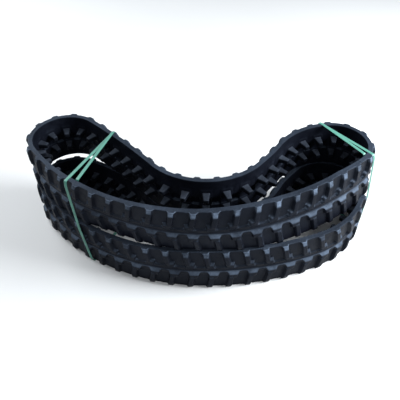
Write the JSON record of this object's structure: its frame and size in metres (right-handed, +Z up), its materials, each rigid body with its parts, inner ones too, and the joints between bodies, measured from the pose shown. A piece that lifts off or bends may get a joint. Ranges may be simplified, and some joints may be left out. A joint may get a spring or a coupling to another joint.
{
  "type": "rubber track",
  "caption": "Pair of endless rubber crawler tracks with iron guide cores, folded into a banana shape, stacked on edge and held by two flat straps for storage.",
  "frame": {"origin": "centre of the bounding box in plan, on the surface that the bundle stands on", "axes": "+X along the length of the folded bundle, +Y to its hollow back, +Z up, across the belts"},
  "size_m": [1.358, 0.5988, 0.3819],
  "materials": {
    "rubber": "satin moulded rubber",
    "core_iron": "dark iron with a rubber skin",
    "cord_steel": "brass plated cord",
    "strap": "embossed polyester band"
  },
  "bodies": {
    "bundle": {"left_strap": "strap", "right_strap": "strap", "lower_strapped_front_rubber": "rubber", "lower_strapped_front_cores": "core_iron", "lower_strapped_front_cords": "cord_steel", "lower_right_end_rubber": "rubber", "lower_right_end_cores": "core_iron", "lower_right_end_cords": "cord_steel", "lower_back_rubber": "rubber", "lower_back_cores": "core_iron", "lower_back_cords": "cord_steel", "upper_strapped_front_rubber": "rubber", "upper_strapped_front_cores": "core_iron", "upper_strapped_front_cords": "cord_steel", "upper_right_end_rubber": "rubber", "upper_right_end_cores": "core_iron", "upper_right_end_cords": "cord_steel", "upper_back_rubber": "rubber", "upper_back_cores": "core_iron", "upper_back_cords": "cord_steel"},
    "lower_left_back": {"lower_left_back_rubber": "rubber", "lower_left_back_cores": "core_iron", "lower_left_back_cords": "cord_steel"},
    "lower_left_end": {"lower_left_end_rubber": "rubber", "lower_left_end_cores": "core_iron", "lower_left_end_cords": "cord_steel"},
    "lower_left_front": {"lower_left_front_rubber": "rubber", "lower_left_front_cores": "core_iron", "lower_left_front_cords": "cord_steel"},
    "lower_front_left": {"lower_front_left_rubber": "rubber", "lower_front_left_cores": "core_iron", "lower_front_left_cords": "cord_steel"},
    "lower_front_middle": {"lower_front_middle_rubber": "rubber", "lower_front_middle_cores": "core_iron", "lower_front_middle_cords": "cord_steel"},
    "lower_front_right": {"lower_front_right_rubber": "rubber", "lower_front_right_cores": "core_iron", "lower_front_right_cords": "cord_steel"},
    "upper_left_back": {"upper_left_back_rubber": "rubber", "upper_left_back_cores": "core_iron", "upper_left_back_cords": "cord_steel"},
    "upper_left_end": {"upper_left_end_rubber": "rubber", "upper_left_end_cores": "core_iron", "upper_left_end_cords": "cord_steel"},
    "upper_left_front": {"upper_left_front_rubber": "rubber", "upper_left_front_cores": "core_iron", "upper_left_front_cords": "cord_steel"},
    "upper_front_left": {"upper_front_left_rubber": "rubber", "upper_front_left_cores": "core_iron", "upper_front_left_cords": "cord_steel"},
    "upper_front_middle": {"upper_front_middle_rubber": "rubber", "upper_front_middle_cores": "core_iron", "upper_front_middle_cords": "cord_steel"},
    "upper_front_right": {"upper_front_right_rubber": "rubber", "upper_front_right_cores": "core_iron", "upper_front_right_cords": "cord_steel"}
  },
  "joints": [
    {"name": "lower_left_back_flex", "type": "hinge", "parent": "bundle", "child": "lower_left_back", "pos_m": [-0.3931, 0.18719, 0.095], "axis": [0, 0, 1], "range_deg": [-2.06, 2.06], "stiffness_Nm_per_rad": 60},
    {"name": "lower_left_end_flex", "type": "hinge", "parent": "lower_left_back", "child": "lower_left_end", "pos_m": [-0.59375, 0.21756, 0.095], "axis": [0, 0, 1], "range_deg": [-3.64, 3.64], "stiffness_Nm_per_rad": 60},
    {"name": "lower_left_front_flex", "type": "hinge", "parent": "lower_left_end", "child": "lower_left_front", "pos_m": [-0.61551, 0.02861, 0.095], "axis": [0, 0, 1], "range_deg": [-4, 4], "stiffness_Nm_per_rad": 60},
    {"name": "lower_front_left_flex", "type": "hinge", "parent": "bundle", "child": "lower_front_left", "pos_m": [-0.40035, -0.16055, 0.095], "axis": [0, 0, 1], "range_deg": [-1.74, 1.74], "stiffness_Nm_per_rad": 60},
    {"name": "lower_front_middle_flex", "type": "hinge", "parent": "lower_front_left", "child": "lower_front_middle", "pos_m": [-0.06159, -0.27337, 0.095], "axis": [0, 0, 1], "range_deg": [-4, 4], "stiffness_Nm_per_rad": 60},
    {"name": "lower_front_right_flex", "type": "hinge", "parent": "lower_front_middle", "child": "lower_front_right", "pos_m": [0.36408, -0.22061, 0.095], "axis": [0, 0, 1], "range_deg": [-3.72, 3.72], "stiffness_Nm_per_rad": 60},
    {"name": "upper_left_back_flex", "type": "hinge", "parent": "bundle", "child": "upper_left_back", "pos_m": [-0.35925, 0.17235, 0.2854], "axis": [0, 0, 1], "range_deg": [-3.1, 3.1], "stiffness_Nm_per_rad": 60},
    {"name": "upper_left_end_flex", "type": "hinge", "parent": "upper_left_back", "child": "upper_left_end", "pos_m": [-0.53935, 0.27637, 0.2854], "axis": [0, 0, 1], "range_deg": [-3.88, 3.88], "stiffness_Nm_per_rad": 60},
    {"name": "upper_left_front_flex", "type": "hinge", "parent": "upper_left_end", "child": "upper_left_front", "pos_m": [-0.62316, 0.05784, 0.2854], "axis": [0, 0, 1], "range_deg": [-4, 4], "stiffness_Nm_per_rad": 60},
    {"name": "upper_front_left_flex", "type": "hinge", "parent": "bundle", "child": "upper_front_left", "pos_m": [-0.41141, -0.1349, 0.2854], "axis": [0, 0, 1], "range_deg": [-1.38, 1.38], "stiffness_Nm_per_rad": 60},
    {"name": "upper_front_middle_flex", "type": "hinge", "parent": "upper_front_left", "child": "upper_front_middle", "pos_m": [-0.07265, -0.24674, 0.2854], "axis": [0, 0, 1], "range_deg": [-3.92, 3.92], "stiffness_Nm_per_rad": 60},
    {"name": "upper_front_right_flex", "type": "hinge", "parent": "upper_front_middle", "child": "upper_front_right", "pos_m": [0.28158, -0.19984, 0.2854], "axis": [0, 0, 1], "range_deg": [-4, 4], "stiffness_Nm_per_rad": 60}
  ],
  "couplings": [
    {"joint": "lower_left_back_flex", "follows": "lower_left_front_flex", "ratio": 0.51074},
    {"joint": "lower_left_end_flex", "follows": "lower_left_front_flex", "ratio": -0.90615},
    {"joint": "lower_front_left_flex", "follows": "lower_front_middle_flex", "ratio": -0.43092},
    {"joint": "lower_front_right_flex", "follows": "lower_front_middle_flex", "ratio": -0.92675},
    {"joint": "upper_left_back_flex", "follows": "upper_left_front_flex", "ratio": 0.77186},
    {"joint": "upper_left_end_flex", "follows": "upper_left_front_flex", "ratio": -0.9658},
    {"joint": "upper_front_left_flex", "follows": "upper_front_right_flex", "ratio": 0.34025},
    {"joint": "upper_front_middle_flex", "follows": "upper_front_right_flex", "ratio": -0.97742}
  ]
}
